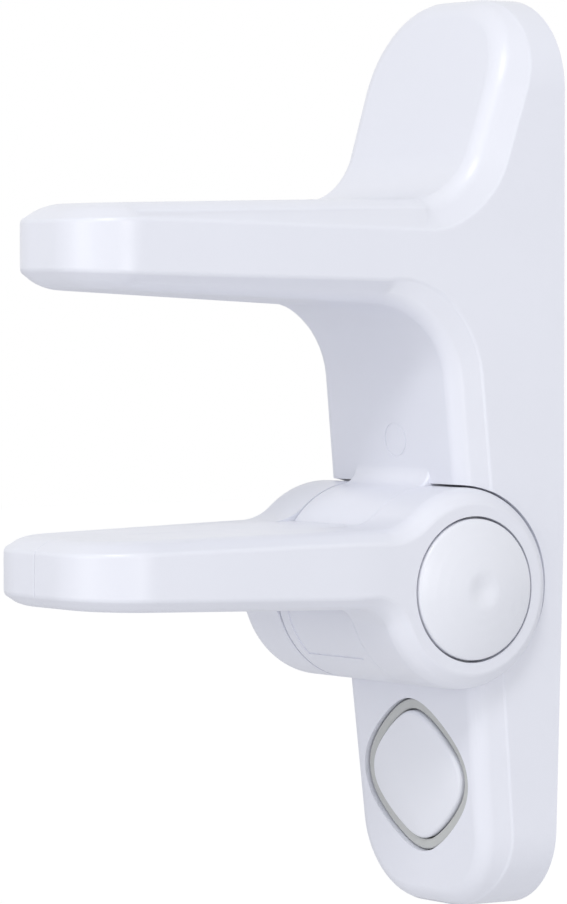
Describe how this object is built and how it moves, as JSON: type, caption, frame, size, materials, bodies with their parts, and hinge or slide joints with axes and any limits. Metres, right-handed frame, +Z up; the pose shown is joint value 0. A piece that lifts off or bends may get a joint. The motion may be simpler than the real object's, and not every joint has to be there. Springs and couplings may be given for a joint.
{
  "type": "door lever safety lock",
  "caption": "Child safety lock for a door lever: a tall stick-on base with a fixed upper arm and a hinged lower arm that drops when the round side buttons are squeezed.",
  "frame": {"origin": "centre of the back face of the middle adhesive pad, on the door's surface, midway up the base", "axes": "+X to the right seen from the front, +Y into the door so the arms point along -Y, +Z up"},
  "size_m": [0.0622, 0.1154, 0.19],
  "materials": {
    "white_shell": "satin moulded white plastic",
    "white_arm": "satin moulded white plastic",
    "white_button": "satin moulded white plastic",
    "white_plate": "matte moulded white plastic",
    "grey_surround": "matte soft grey plastic",
    "inner_nylon": "natural nylon",
    "foam_pad": "closed-cell adhesive foam",
    "zinc_steel": "zinc-plated steel"
  },
  "bodies": {
    "base": {"base_housing": "white_shell", "back_plate": "white_plate", "back_screw_1": "zinc_steel", "back_screw_2": "zinc_steel", "back_screw_3": "zinc_steel", "back_screw_4": "zinc_steel", "back_screw_5": "zinc_steel", "back_screw_6": "zinc_steel", "adhesive_pad_upper": "foam_pad", "adhesive_pad_middle": "foam_pad", "adhesive_pad_lower": "foam_pad", "hub_axle": "zinc_steel", "lock_spring_right": "zinc_steel", "lock_spring_left": "zinc_steel", "decoy_ring": "grey_surround", "decoy_spring": "zinc_steel"},
    "lower_arm": {"lower_arm_right": "white_arm", "lower_arm_left": "white_arm", "clutch_plate_right": "inner_nylon", "clutch_plate_left": "inner_nylon"},
    "right_button": {"release_button_right": "white_button"},
    "left_button": {"release_button_left": "white_button"},
    "right_gear": {"lock_gear_right": "inner_nylon"},
    "left_gear": {"lock_gear_left": "inner_nylon"},
    "decoy": {"decoy_button": "white_button"}
  },
  "joints": [
    {"name": "arm_swing", "type": "hinge", "parent": "base", "child": "lower_arm", "pos_m": [0, -0.0266, -0.0269], "axis": [1, 0, 0], "range_deg": [0, 80]},
    {"name": "right_button_press", "type": "slide", "parent": "lower_arm", "child": "right_button", "axis": [-1, 0, 0], "range_m": [0, 0.0032], "stiffness_N_per_m": 2500},
    {"name": "left_button_press", "type": "slide", "parent": "lower_arm", "child": "left_button", "axis": [1, 0, 0], "range_m": [0, 0.0032], "stiffness_N_per_m": 2500},
    {"name": "right_gear_slide", "type": "slide", "parent": "base", "child": "right_gear", "axis": [-1, 0, 0], "range_m": [0, 0.0032], "deforming": ["lock_spring_right"]},
    {"name": "left_gear_slide", "type": "slide", "parent": "base", "child": "left_gear", "axis": [1, 0, 0], "range_m": [0, 0.0032], "deforming": ["lock_spring_left"]},
    {"name": "decoy_press", "type": "slide", "parent": "base", "child": "decoy", "axis": [0, 0.9951, 0.0985], "range_m": [0, 0.002], "stiffness_N_per_m": 2000, "deforming": ["decoy_spring"]}
  ],
  "couplings": [
    {"joint": "right_gear_slide", "follows": "right_button_press", "ratio": 1},
    {"joint": "left_gear_slide", "follows": "left_button_press", "ratio": 1}
  ]
}
